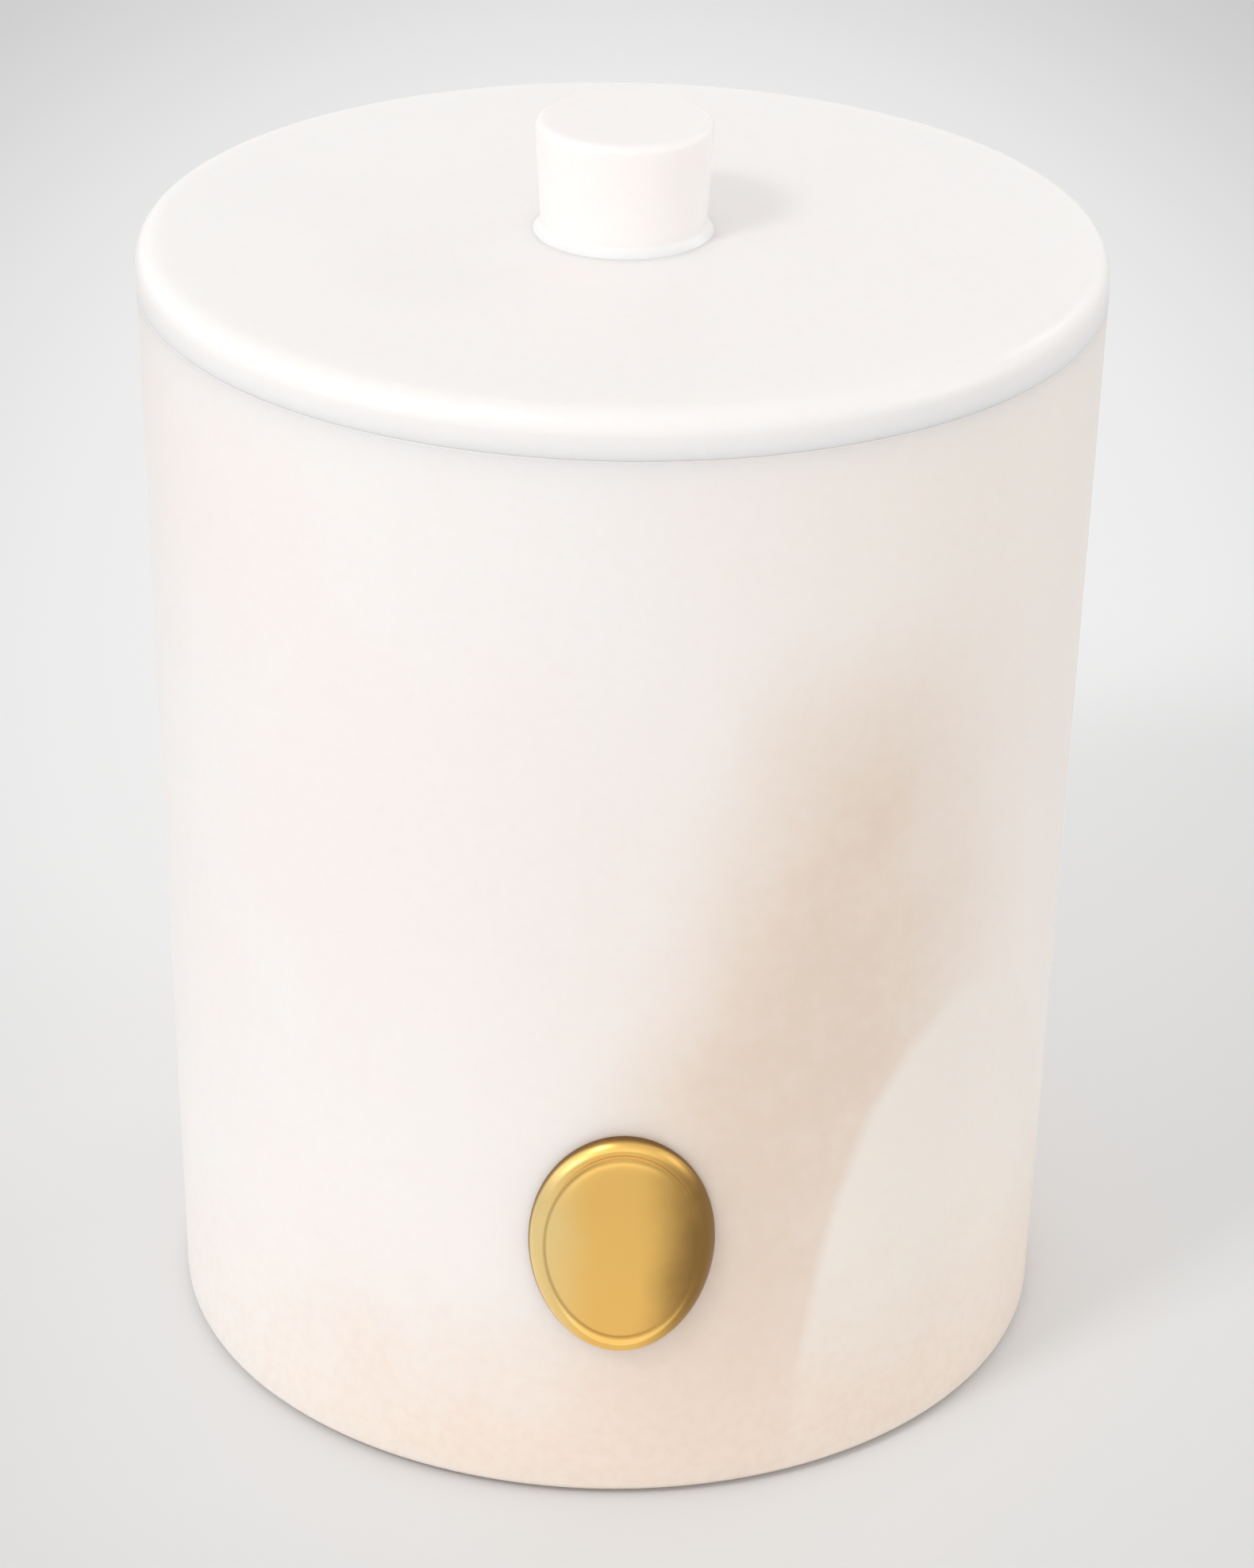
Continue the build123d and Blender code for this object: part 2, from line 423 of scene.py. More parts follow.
# %% The pale pocket
POCKET = (0.908, 0.834, 0.764, 1)
POCKET_AT = Vector((36.5, -40, 0)) * MM
POCKET_REACH = Vector((20.4, 35, 52)) * MM
POCKET_EDGE = 1.05, 0.98  # in parts of that reach, where the pocket begins and where it is full
RAGGED_SIZE = 6 * MM
RAGGED = 0.05


def pale_pocket(made, place):
    """1 inside the pocket, 0 outside, with a narrow edge."""
    off = node(made, "VectorMath", {"operation": "SUBTRACT"})
    feed(made, off.inputs[0], place)
    feed(made, off.inputs[1], POCKET_AT)
    share = node(made, "VectorMath", {"operation": "DIVIDE"})
    feed(made, share.inputs[0], off.outputs[0])
    feed(made, share.inputs[1], POCKET_REACH)
    length = node(made, "VectorMath", {"operation": "LENGTH"})
    feed(made, length.inputs[0], share.outputs[0])
    uneven = grain(made, place, RAGGED_SIZE, 4)
    ragged = reckon(made, "MULTIPLY_ADD", uneven, RAGGED, length.outputs["Value"])
    return ramp(made, ragged, *POCKET_EDGE)


# %% [markdown]
# The vessel's stone is laid up in layers: white and rose, beige towards the right, haze, ochre, pocket,
# and a beige foot whose upper edge rises and falls. The lid and the knob come from plainer stone. Each is
# shifted to a place of its own in it, so that their clouds don't repeat.

# %% The three stones
BEIGE_SIDE = (0.938, 0.857, 0.796, 1)
BEIGE_FOOT = (0.873, 0.738, 0.635, 1)
LID_WHITE = (0.925, 0.900, 0.885, 1)
LIGHT_REACH = 5 * MM  # how far light goes into a big piece
KNOB_LIGHT_REACH = 1.5 * MM
SIDE_EDGE = -4 * MM, 32 * MM  # from the middle to the right, where beige begins and where it is full
FOOT_EDGE = 36 * MM, 8 * MM  # the same downwards, for the foot
FOOT_ACROSS = -60 * MM, -10 * MM  # and from the left
FOOT_STRENGTH = 0.85
RISE_SIZE = 8 * MM  # the foot's edge rises and falls by the next value, in lumps of this size
RISE = 15 * MM
GRAINY_EDGE = 34 * MM, 6 * MM
VESSEL_GRAIN = 0.10
FOOT_GRAIN = 0.32  # this much more at the foot
LID_GRAIN = 0.08


def vessel_stone():
    made = alabaster("alabaster_vessel", LIGHT_REACH)
    place = object_place(made)
    axes = node(made, "SeparateXYZ", Vector=place)
    side = ramp(made, axes.outputs["X"], *SIDE_EDGE)
    colour = between(made, side, clouded_colour(made, place), BEIGE_SIDE)
    core, haze = ochre_cloud(made, place)
    colour = between(made, haze, colour, OCHRE_HAZE)
    colour = between(made, core, colour, OCHRE)
    colour = between(made, pale_pocket(made, place), colour, POCKET)
    height = reckon(made, "MULTIPLY_ADD", grain(made, place, RISE_SIZE, 4), RISE, axes.outputs["Z"])
    foot = reckon(made, "MULTIPLY", ramp(made, height, *FOOT_EDGE), FOOT_STRENGTH)
    foot = reckon(made, "MULTIPLY", foot, ramp(made, axes.outputs["X"], *FOOT_ACROSS))
    colour = between(made, foot, colour, BEIGE_FOOT)
    grainy = reckon(made, "MULTIPLY_ADD", ramp(made, height, *GRAINY_EDGE), FOOT_GRAIN, VESSEL_GRAIN)
    colour = crystal_grain(made, place, colour, grainy)
    honed_surface(made, place, colour)
    return made


def lid_stone(name, shift, light_reach):
    """The lid and the knob come from plainer, whiter stone. The shift picks another bit of the block."""
    made = alabaster(name, light_reach)
    place = object_place(made, shift)
    colour = between(made, 0.5, clouded_colour(made, place), LID_WHITE)
    colour = crystal_grain(made, place, colour, LID_GRAIN)
    honed_surface(made, place, colour)
    return made


# %% [markdown]
# ## The stone cup
# It is a thick tapered cup, 8 mm in the wall, with a shallow recess in its base for a felt pad. The
# mouth and the foot were eased with abrasive paper, so no edge is sharp. The rim's outer edge is eased
# least, because the lid closes on it there with hardly a seam. A turned shape that is perfect looks like
# plastic, so the points are moved in afterwards by a few hundredths of a millimetre. That is too little
# to see as a shape, but enough to make a highlight waver.

# %% Turn the cup
PAD_INSET = 7.2 * MM
RECESS_R = BASE_R - PAD_INSET
BASE_ROUND = 0.8 * MM
SEAM_ROUND = 0.12 * MM
MOUTH_ROUND = 0.7 * MM
COVE_ROUND = 3 * MM  # where the cavity's wall meets its floor
HAND_DEPTH = 0.06 * MM
HAND_SIZE = 16 * MM
RING_GAP = 3 * MM  # no two rings of vertices are further apart

vessel_line = spread(
    rounded(
        [
            (0, PAD_TOP_Z, 0),
            (RECESS_R, PAD_TOP_Z, 0.3 * MM),
            (RECESS_R, STONE_Z, 0.2 * MM),
            (BASE_R, STONE_Z, BASE_ROUND),
            (RIM_R, RIM_Z, SEAM_ROUND),
            (CAVITY_R, RIM_Z, MOUTH_ROUND),
            (CAVITY_R, FLOOR_Z, COVE_ROUND),
            (0, FLOOR_Z, 0),
        ]
    ),
    RING_GAP,
)
vessel = lathe("stone_vessel", vessel_line, turns=192)
wear(vessel, HAND_DEPTH, HAND_SIZE, seed=3, seat_z=RIM_Z)
fit(vessel, "vessel", "alabaster", vessel_stone(), "vessel")

# %% [markdown]
# ## The lid
# A flat disc with a rounded top edge, and a plug below that drops into the mouth. A groove round the plug
# holds a silicone ring. The lower edge is eased far less than the top one, so that lid and cup meet in a
# fine line. In the middle is the socket for the knob's spigot.

# %% Turn the lid
PLUG_FIT = 0.7 * MM
PLUG_R = CAVITY_R - PLUG_FIT
PLUG_CHAMFER = 1 * MM
SEAL_LOW, SEAL_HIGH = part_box("lid_seal")
SEAL_WIRE_R = 0.9 * MM  # the round section that the groove is cut for
SEAL_R = (SEAL_HIGH.x - SEAL_LOW.x) / 2 - SEAL_WIRE_R
SEAL_Z = (SEAL_HIGH.z + SEAL_LOW.z) / 2
GROOVE_EASE = 0.05 * MM
GROOVE_HALF = SEAL_WIRE_R + GROOVE_EASE
GROOVE_R = SEAL_R - GROOVE_HALF
SPIGOT_R = 3.5 * MM
SPIGOT_FIT = 0.05 * MM
SOCKET_R = SPIGOT_R + SPIGOT_FIT
SOCKET_DEPTH = 3.8 * MM
SOCKET_Z = LID_TOP_Z - SOCKET_DEPTH
LID_ROUND = 2.2 * MM
LID_SEAM_ROUND = 0.1 * MM
LID_HAND_DEPTH = 0.04 * MM
LID_STONE_AT = Vector((90, 40, 70)) * MM

lid_line = spread(
    rounded(
        [
            (0, PLUG_Z, 0),
            (PLUG_R - PLUG_CHAMFER, PLUG_Z, 0.3 * MM),
            (PLUG_R, PLUG_Z + PLUG_CHAMFER, 0.3 * MM),
            (PLUG_R, SEAL_Z - GROOVE_HALF, 0.1 * MM),
            (GROOVE_R, SEAL_Z - GROOVE_HALF, 0.1 * MM),
            (GROOVE_R, SEAL_Z + GROOVE_HALF, 0.1 * MM),
            (PLUG_R, SEAL_Z + GROOVE_HALF, 0.1 * MM),
            (PLUG_R, RIM_Z, 0.2 * MM),
            (RIM_R, RIM_Z, LID_SEAM_ROUND),
            (RIM_R, LID_TOP_Z, LID_ROUND),
            (SOCKET_R, LID_TOP_Z, 0.1 * MM),
            (SOCKET_R, SOCKET_Z, 0.1 * MM),
            (0, SOCKET_Z, 0),
        ],
        steps=6,
    ),
    RING_GAP,
)
lid = lathe("stone_lid", lid_line, turns=192)
wear(lid, LID_HAND_DEPTH, HAND_SIZE, seed=11, seat_z=RIM_Z)
lid_finish = lid_stone("alabaster_lid", LID_STONE_AT, LIGHT_REACH)
fit(lid, "lid", "alabaster", lid_finish, "lid")

# %% [markdown]
# ## The knob
# A short stone button, a little wider at its top so that two fingers can lift by it. Where it meets the
# lid it spreads in a tiny bevel, which faces upwards and catches a line of light.

# %% Turn the knob
KNOB_LOW, KNOB_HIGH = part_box("lid_knob")
KNOB_TOP_Z = KNOB_HIGH.z
KNOB_TOP_R = 8.3 * MM
KNOB_TAPER = 0.6 * MM
KNOB_WAIST_R = KNOB_TOP_R - KNOB_TAPER
KNOB_FOOT_R = KNOB_HIGH.x
KNOB_BEVEL_H = 0.9 * MM
KNOB_ROUND = 0.8 * MM
KNOB_HAND_DEPTH = 0.03 * MM
KNOB_HAND_SIZE = 6 * MM
KNOB_RING_GAP = 1.2 * MM
KNOB_STONE_AT = Vector((20, 150, 30)) * MM
SUNK = 0.06 * MM  # the foot reaches this far into the lid, so that no slit shows round it

knob_line = spread(
    rounded(
        [
            (0, KNOB_LOW.z, 0),
            (SPIGOT_R, KNOB_LOW.z, 0.2 * MM),
            (SPIGOT_R, LID_TOP_Z - SUNK, 0),
            (KNOB_FOOT_R, LID_TOP_Z - SUNK, 0),
            (KNOB_FOOT_R, LID_TOP_Z + 0.1 * MM, 0.05 * MM),
            (KNOB_WAIST_R, LID_TOP_Z + KNOB_BEVEL_H, 0.3 * MM),
            (KNOB_TOP_R, KNOB_TOP_Z, KNOB_ROUND),
            (0, KNOB_TOP_Z, 0),
        ]
    ),
    KNOB_RING_GAP,
)
knob = lathe("stone_knob", knob_line, turns=96)
wear(knob, KNOB_HAND_DEPTH, KNOB_HAND_SIZE, seed=5)
knob_finish = lid_stone("alabaster_knob", KNOB_STONE_AT, KNOB_LIGHT_REACH)
fit(knob, "lid", "alabaster", knob_finish, "lid_knob")

# %% [markdown]
# ## The badge
# A small gilt plate is glued low on the front: a plain upright oval whose face swells out and is bent
# more tightly than the stone behind it. A moulded border runs round it, with a fine sunk line inside.
# The mesh is a fan of rings, each an oval. Every ring has a distance from the outline, and a short
# profile says how far the face stands proud at that distance.

# %% The badge's surface
BADGE_LOW, BADGE_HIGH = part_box("badge")
BADGE_HALF_W = (BADGE_HIGH.x - BADGE_LOW.x) / 2
BADGE_HALF_H = (BADGE_HIGH.z - BADGE_LOW.z) / 2
BADGE_MID_Z = (BADGE_HIGH.z + BADGE_LOW.z) / 2
BADGE_FACE_Y = BADGE_LOW.y
BADGE_BEND_R = 16 * MM
BADGE_SWELL_R = 60 * MM
GLUE_T = 0.2 * MM


def badge_face(x, z, proud):
    """A point of the front, at x across and z above the badge's middle."""
    bend = BADGE_BEND_R - sqrt(BADGE_BEND_R**2 - x * x)
    swell = BADGE_SWELL_R - sqrt(BADGE_SWELL_R**2 - z * z)
    return x, BADGE_FACE_Y + bend + swell - proud, BADGE_MID_Z + z


def badge_back(x, z):
    """The point behind it, on the glue that covers the tapered stone."""
    height = BADGE_MID_Z + z
    stone_r = BASE_R + TAPER * (height - STONE_Z) / (RIM_Z - STONE_Z)
    return x, -sqrt((stone_r + GLUE_T) ** 2 - x * x), height


def oval(inset, angle):
    return (BADGE_HALF_W - inset) * sin(angle), (BADGE_HALF_H - inset) * cos(angle)


# %% [markdown]
# The border is a bead with a fine sunk line on its inner side. Its profile is short enough to write out
# as a list. The points lie close together where it curves, and far apart on the plain field.

# %% The border's profile, and the mesh
BADGE_TURNS = 144
# (distance in from the outline, height above the face's own curve), both in millimetres
BORDER_PROFILE = (
    (0.00, -0.40),
    (0.10, -0.22),
    (0.25, -0.02),
    (0.45, 0.14),
    (0.70, 0.25),
    (0.95, 0.28),
    (1.15, 0.23),
    (1.30, 0.12),
    (1.42, 0.00),
    (1.55, -0.09),
    (1.70, -0.12),
    (1.90, -0.10),
    (2.15, -0.04),
    (2.45, 0.00),
    (2.80, 0.02),
    (3.40, 0.02),
    (4.40, 0.01),
    (5.60, 0.00),
    (7.00, 0.00),
    (8.20, 0.00),
)
RIM_EDGE = 0.12 * MM  # the plate is never thinner than this


def badge_plate():
    shape = bmesh.new()
    angles = [TURN * n / BADGE_TURNS for n in range(BADGE_TURNS)]
    rings = [[shape.verts.new(badge_back(*oval(inset, a))) for a in angles] for inset in (3 * MM, 0)]
    for inset, proud in BORDER_PROFILE:
        ring = []
        for a in angles:
            x, z = oval(inset * MM, a)
            point = Vector(badge_face(x, z, proud * MM))
            point.y = min(point.y, badge_back(x, z)[1] - RIM_EDGE)
            ring.append(shape.verts.new(point))
        rings.append(ring)
    for low, high in zip(rings, rings[1:]):
        for n in range(BADGE_TURNS):
            beyond = (n + 1) % BADGE_TURNS
            shape.faces.new((low[n], low[beyond], high[beyond], high[n]))
    shape.faces.new(rings[0])
    shape.faces.new(rings[-1])
    return finished("badge_plate", shape)


# %% [markdown]
# The gilding is a thin bright gold over brass. It is softly polished rather than a mirror. Light and shade
# are painted into its colour: the left side is painted paler as a painted highlight, and the right side
# browner as painted shade. The outer flank is painted dark as painted shade, and the sunk line keeps a
# dark patina where a cloth never reaches. Those two follow the distance from the outline.

# %% Gilt finish
GOLD = (1.0, 0.62, 0.175, 1)
# painted highlight: a paler gold that stands for light falling on the left side
GOLD_PAINTED_HIGHLIGHT = (1.0, 0.79, 0.37, 1)
# painted shade on the right side and on the outer flank, and the dark patina of the sunk line
GOLD_SHADE_AND_PATINA = (0.26, 0.145, 0.045, 1)
PAINTED_HIGHLIGHT_EDGE = -0.5 * MM, -7.5 * MM  # from the middle to the left
PAINTED_HIGHLIGHT_STRENGTH = 0.9
PAINTED_SHADE_EDGE = 2.2 * MM, 9.3 * MM  # from the middle to the right
PAINTED_SHADE_STRENGTH = 0.95
STRAY_SIZE = 6 * MM  # both edges stray by up to the next value, in lumps of this size
STRAY = 3 * MM
SUNK_AT = 0.83  # the sunk line, as a part of the way from the middle to the outline
SUNK_HALF = 0.03
SUNK_STRENGTH = 0.45
PAINTED_FLANK_SHADE_FROM = 0.975
GILT_LEAST_ROUGH = 0.29
GILT_ROUGHER_BY = 0.10


def gilt():
    made = material("gilt_badge", Metallic=1.0, IOR=1.45)
    place = object_place(made)
    axes = node(made, "SeparateXYZ", Vector=place)
    uneven = reckon(made, "MULTIPLY_ADD", grain(made, place, STRAY_SIZE, 3), STRAY, axes.outputs["X"])
    # painted highlight: the left side's colour is made paler, as if lit from the left
    painted_highlight = reckon(made, "MULTIPLY", ramp(made, uneven, *PAINTED_HIGHLIGHT_EDGE), PAINTED_HIGHLIGHT_STRENGTH)
    # painted shade: the right side's colour is made browner, as if in shade
    painted_side_shade = reckon(made, "MULTIPLY", ramp(made, uneven, *PAINTED_SHADE_EDGE), PAINTED_SHADE_STRENGTH)
    across = reckon(made, "DIVIDE", axes.outputs["X"], BADGE_HALF_W)
    above = reckon(made, "SUBTRACT", axes.outputs["Z"], BADGE_MID_Z)
    up = reckon(made, "DIVIDE", above, BADGE_HALF_H)
    squares = reckon(made, "MULTIPLY_ADD", up, up, reckon(made, "MULTIPLY", across, across))
    out = reckon(made, "SQRT", squares)
    off_line = reckon(made, "ABSOLUTE", reckon(made, "SUBTRACT", out, SUNK_AT))
    sunk = reckon(made, "MULTIPLY", ramp(made, off_line, SUNK_HALF, 0.0), SUNK_STRENGTH)
    # painted shade on the outer flank, where the face turns away from the light
    painted_flank_shade = ramp(made, out, PAINTED_FLANK_SHADE_FROM, 1.0)
    # the sunk line's dark is patina, the side and flank darkening is painted shade
    shade_and_patina = reckon(made, "MAXIMUM", painted_flank_shade, reckon(made, "MAXIMUM", sunk, painted_side_shade))
    colour = between(made, painted_highlight, GOLD, GOLD_PAINTED_HIGHLIGHT)
    colour = between(made, shade_and_patina, colour, GOLD_SHADE_AND_PATINA)
    wiped = grain(made, place, 2 * MM, 4)
    roughness = reckon(made, "MULTIPLY_ADD", wiped, GILT_ROUGHER_BY, GILT_LEAST_ROUGH)
    finish_shader(made, colour, roughness, grain(made, place, 0.6 * MM, 3), 0.006 * MM)
    return made


fit(badge_plate(), "vessel", "gilt_metal", gilt(), "badge")

# %% [markdown]
# ## Felt
# One disc sits in the recess under the stone, and stands half a millimetre below it so that the stone
# never touches the table. Another lies inside, under the glass. Felt is a mat of short fibres: its edge
# is soft and slightly uneven, and it scatters light at a grazing angle, which is what Sheen is for.

# %% Felt finish
def felt(name, light, dark):
    made = material(name, Sheen_Weight=0.5, Sheen_Roughness=0.5)
    place = object_place(made)
    fibres = grain(made, place, 0.35 * MM, 6, 1.5)
    clumps = grain(made, place, 3 * MM, 3)
    share = reckon(made, "MULTIPLY_ADD", clumps, 0.4, reckon(made, "MULTIPLY", fibres, 0.6))
    colour = between(made, ramp(made, share, 0.35, 0.65), dark, light)
    finish_shader(made, colour, 0.95, fibres, 0.12 * MM)
    return made


# %% [markdown]
# Both discs are punched from sheet, so each is a low turned disc. Its points are then moved a little, in
# hollows about as large as a tuft, which leaves the outline soft and slightly uneven.

# %% Cut the two discs
SOFT_ROUND = 0.3 * MM


def soft_disc(name, node_name, gap, turns):
    """A disc that fills its CAD node's box, with a softened edge."""
    low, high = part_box(node_name)
    corners = [(0, low.z, 0), (high.x, low.z, SOFT_ROUND), (high.x, high.z, SOFT_ROUND), (0, high.z, 0)]
    return lathe(name, spread(rounded(corners, steps=4), gap), turns)


def felt_disc(name, node_name):
    disc = soft_disc(name, node_name, gap=2 * MM, turns=120)
    wear(disc, 0.08 * MM, 1.5 * MM, seed=7)
    return disc


felt_base = felt_disc("felt_base", "base_pad")
grey = felt("felt_grey", (0.60, 0.56, 0.50, 1), (0.42, 0.39, 0.35, 1))
fit(felt_base, "vessel", "base_felt", grey, "base_pad")
felt_inner = felt_disc("felt_inner", "insert_cushion")
cream = felt("felt_cream", (0.86, 0.82, 0.75, 1), (0.72, 0.68, 0.61, 1))
fit(felt_inner, "vessel", "cushion_felt", cream, "insert_cushion")

# %% [markdown]
# ## The glass refill
# The wax is poured in a plain pressed glass cup, so that it can be lifted out and replaced and the stone
# stays clean. The glass is a closed body with an inner and an outer wall, because light has to enter it
# and leave it again to bend properly.

# %% Press the glass
GLASS_WALL = 2 * MM
GLASS_LOW, GLASS_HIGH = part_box("glass_cup")
WAX_LOW, WAX_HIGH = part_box("wax")
INNER_R = GLASS_R - GLASS_WALL
LIP_ROUND = 0.9 * MM
INNER_ROUND = 2.5 * MM

glass_line = spread(
    rounded(
        [
            (0, GLASS_LOW.z, 0),
            (GLASS_R, GLASS_LOW.z, COVE_ROUND + GLASS_FIT),
            (GLASS_R, GLASS_HIGH.z, LIP_ROUND),
            (INNER_R, GLASS_HIGH.z, LIP_ROUND),
            (INNER_R, WAX_LOW.z, INNER_ROUND),
            (0, WAX_LOW.z, 0),
        ],
        steps=10,
    ),
    5 * MM,
)
glass_clear = material(
    "glass_clear",
    Base_Color=(0.995, 1.0, 0.998, 1),
    Transmission_Weight=1.0,
    IOR=1.5,
)
glass_place = object_place(glass_clear)
glass_smear = reckon(glass_clear, "MULTIPLY_ADD", grain(glass_clear, glass_place, 12 * MM, 3), 0.05, 0.0)
finish_shader(glass_clear, None, glass_smear, grain(glass_clear, glass_place, 18 * MM, 1), 0.05 * MM)
glass = lathe("glass_refill", glass_line, turns=160)
fit(glass, "refill", "cup_glass", glass_clear, "glass_cup")

# %% [markdown]
# ## The wax
# Wax shrinks as it sets, so the top is a shallow dish. It clings to the glass and to the wick and climbs
# a little at both. The profile of the top is therefore a formula: a dish, plus a short steep rise at
# each side. The block stops a hair short of the glass, so that the two surfaces never fight.

# %% Pour the wax
WAX_GAP = 0.03 * MM
WICK_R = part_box("wick")[1].x
CLIMB = 0.7 * MM
CLIMB_REACH = 0.9 * MM
WICK_CLIMB = 0.8 * CLIMB
DISH = 0.5 * MM
CROWDING = 1.3  # above 1, the surface's rings lie closer together towards the wick


def wax_top(r):
    """Height of the wax's surface at a distance from the axis."""
    at_glass = CLIMB * exp((r - INNER_R) / CLIMB_REACH)
    at_wick = WICK_CLIMB * exp((WICK_R - r) / CLIMB_REACH)
    dish = DISH * (1 - (r / INNER_R) ** 2)
    return WAX_HIGH.z - CLIMB + at_glass + min(at_wick, CLIMB) - dish


wax_edge = INNER_R - WAX_GAP
wax_foot_z = WAX_LOW.z + WAX_GAP
wax_corners = [(0, wax_foot_z, 0), (wax_edge, wax_foot_z, INNER_ROUND), (wax_edge, wax_top(wax_edge), 0)]
wax_side = rounded(wax_corners)
wax_rings = 46
wax_surface = [wax_edge * (1 - n / wax_rings) ** CROWDING for n in range(1, wax_rings + 1)]
wax_line = spread(wax_side, 5 * MM) + [Vector((r, wax_top(r))) for r in wax_surface]
wax = lathe("candle_wax", wax_line, turns=128)

# %% [markdown]
# Candle wax is as translucent as the stone but softer to look at: creamy, with faint pale frosting where
# it has crystallised against the glass.

# %% Wax finish
def creamy_wax():
    made = material(
        "creamy_wax",
        IOR=1.44,
        Subsurface_Weight=0.5,
        Subsurface_Radius=(1.0, 0.75, 0.5),
        Subsurface_Scale=4 * MM,
    )
    place = object_place(made)
    frost = ramp(made, grain(made, place, 9 * MM, 5, 0.6), 0.48, 0.72)
    colour = between(made, frost, (0.90, 0.845, 0.735, 1), (0.935, 0.905, 0.84, 1))
    roughness = reckon(made, "MULTIPLY_ADD", frost, 0.2, 0.38)
    finish_shader(made, colour, roughness, grain(made, place, 2.5 * MM, 4), 0.06 * MM)
    return made


fit(wax, "refill", "candle_wax", creamy_wax(), "wax")

# %% [markdown]
# ## The wick
# It is a flat braid of three cotton strands dipped in wax, which stands up from a pressed steel tab. In a
# braid each strand swings from side to side, and crosses the next one in front on the way back, so its
# path is one sine across and another, twice as fast, from front to back. A curve with a round bevel
# follows it, one spline for each strand.

# %% Braid the wick
STRANDS = 3
STRAND_R = 0.60 * MM
SWING = WICK_R - STRAND_R - 0.02 * MM
CROSSING = 0.36 * MM
BRAID_PITCH = 4.6 * MM
STEPS_IN_PITCH = 16
WICK_LOW, WICK_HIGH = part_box("wick")


def braid():
    braided = bpy.data.curves.new("braided_wick", "CURVE")
    braided.dimensions = "3D"
    braided.bevel_depth = STRAND_R
    braided.bevel_resolution = 4
    braided.use_fill_caps = True
    span = WICK_HIGH.z - WICK_LOW.z - 0.4 * MM
    count = round(span / BRAID_PITCH * STEPS_IN_PITCH)
    for strand in range(STRANDS):
        spline = braided.splines.new("POLY")
        spline.points.add(count)
        for step, point in enumerate(spline.points):
            phase = TURN * (step / STEPS_IN_PITCH + strand / STRANDS)
            height = WICK_LOW.z + 0.2 * MM + span * step / count
            point.co = (SWING * sin(phase), CROSSING * sin(2 * phase), height, 1)
        spline.use_smooth = True
    return braided


def cotton():
    made = material("waxed_cotton", Sheen_Weight=0.2)
    place = object_place(made)
    threads = grain(made, place, 0.18 * MM, 4, 2.0)
    colour = between(made, threads, (0.74, 0.69, 0.58, 1), (0.93, 0.90, 0.82, 1))
    finish_shader(made, colour, 0.7, threads, 0.05 * MM)
    return made


wick_curve = bpy.data.objects.new("braid_guide", braid())
bpy.context.scene.collection.objects.link(wick_curve)
graph = bpy.context.evaluated_depsgraph_get()
wick_mesh = bpy.data.meshes.new_from_object(wick_curve.evaluated_get(graph))
bpy.data.objects.remove(wick_curve)
wick = bpy.data.objects.new("braided_wick", wick_mesh)
bpy.context.scene.collection.objects.link(wick)
fit(wick, "refill", "cotton_wick", cotton(), "wick")

# %% [markdown]
# ## What holds the wick
# Under the wax a disc of tinned sheet carries a short neck, which is crimped round the braid. A foam
# sticker holds the disc to the glass. The neck is turned first, and its points are then pinched in at
# three places as the crimping tool leaves them.

# %% Press and crimp the tab
TAB_LOW, TAB_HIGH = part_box("wick_tab")
TAB_SHEET = 0.5 * MM
NECK_R = WICK_R + 0.4 * MM
CRIMPS = 3
CRIMP_DEPTH = 0.12  # as a part of the neck's radius
CRIMP_REACH = 1.2 * MM
CRIMP_BELOW_TOP = 2 * MM

tab_corners = [
    (WICK_R, TAB_LOW.z, 0.05 * MM),
    (TAB_HIGH.x, TAB_LOW.z, 0.15 * MM),
    (TAB_HIGH.x, TAB_LOW.z + TAB_SHEET, 0.15 * MM),
    (NECK_R, TAB_LOW.z + TAB_SHEET, 0.3 * MM),
    (NECK_R, TAB_HIGH.z, 0.1 * MM),
    (WICK_R, TAB_HIGH.z, 0.1 * MM),
]
tab = lathe("wick_tab_plate", spread(rounded(tab_corners, steps=4), 0.8 * MM), turns=72, loop=True)
crimp_z = TAB_HIGH.z - CRIMP_BELOW_TOP
for point in tab.data.vertices:
    reach = hypot(point.co.x, point.co.y)
    if reach < 1.1 * NECK_R and point.co.z > TAB_LOW.z + 2 * TAB_SHEET:
        turned = Vector((point.co.x, point.co.y)).angle_signed(Vector((0, 1)))
        pinch = max(0.0, cos(CRIMPS * turned)) * exp(-(((point.co.z - crimp_z) / CRIMP_REACH) ** 2))
        point.co.x *= 1 - CRIMP_DEPTH * pinch
        point.co.y *= 1 - CRIMP_DEPTH * pinch


def tinned():
    made = material("tinned_sheet", Metallic=1.0)
    place = object_place(made)
    spangle = grain(made, place, 2.5 * MM, 2, 1.0)
    colour = between(made, spangle, (0.62, 0.63, 0.64, 1), (0.80, 0.81, 0.82, 1))
    finish_shader(made, colour, reckon(made, "MULTIPLY_ADD", spangle, 0.2, 0.22), spangle, 0.01 * MM)
    return made


fit(tab, "refill", "tinned_steel", tinned(), "wick_tab")

# %% [markdown]
# The sticker is cut from closed-cell foam, so it gets the same shape as the felt. Its cells are too small
# to model. They show as a fine pale mottle with a little height.

# %% The foam sticker
foam = soft_disc("wick_foam", "wick_sticker", gap=1.5 * MM, turns=72)
wear(foam, 0.05 * MM, 1.2 * MM, seed=2)
foam_white = material("foam_white")
foam_cells = grain(foam_white, object_place(foam_white), 0.4 * MM, 4)
foam_colour = between(foam_white, foam_cells, (0.80, 0.80, 0.78, 1), (0.92, 0.92, 0.90, 1))
finish_shader(foam_white, foam_colour, 0.85, foam_cells, 0.08 * MM)
fit(foam, "refill", "foam_sticker", foam_white, "wick_sticker")

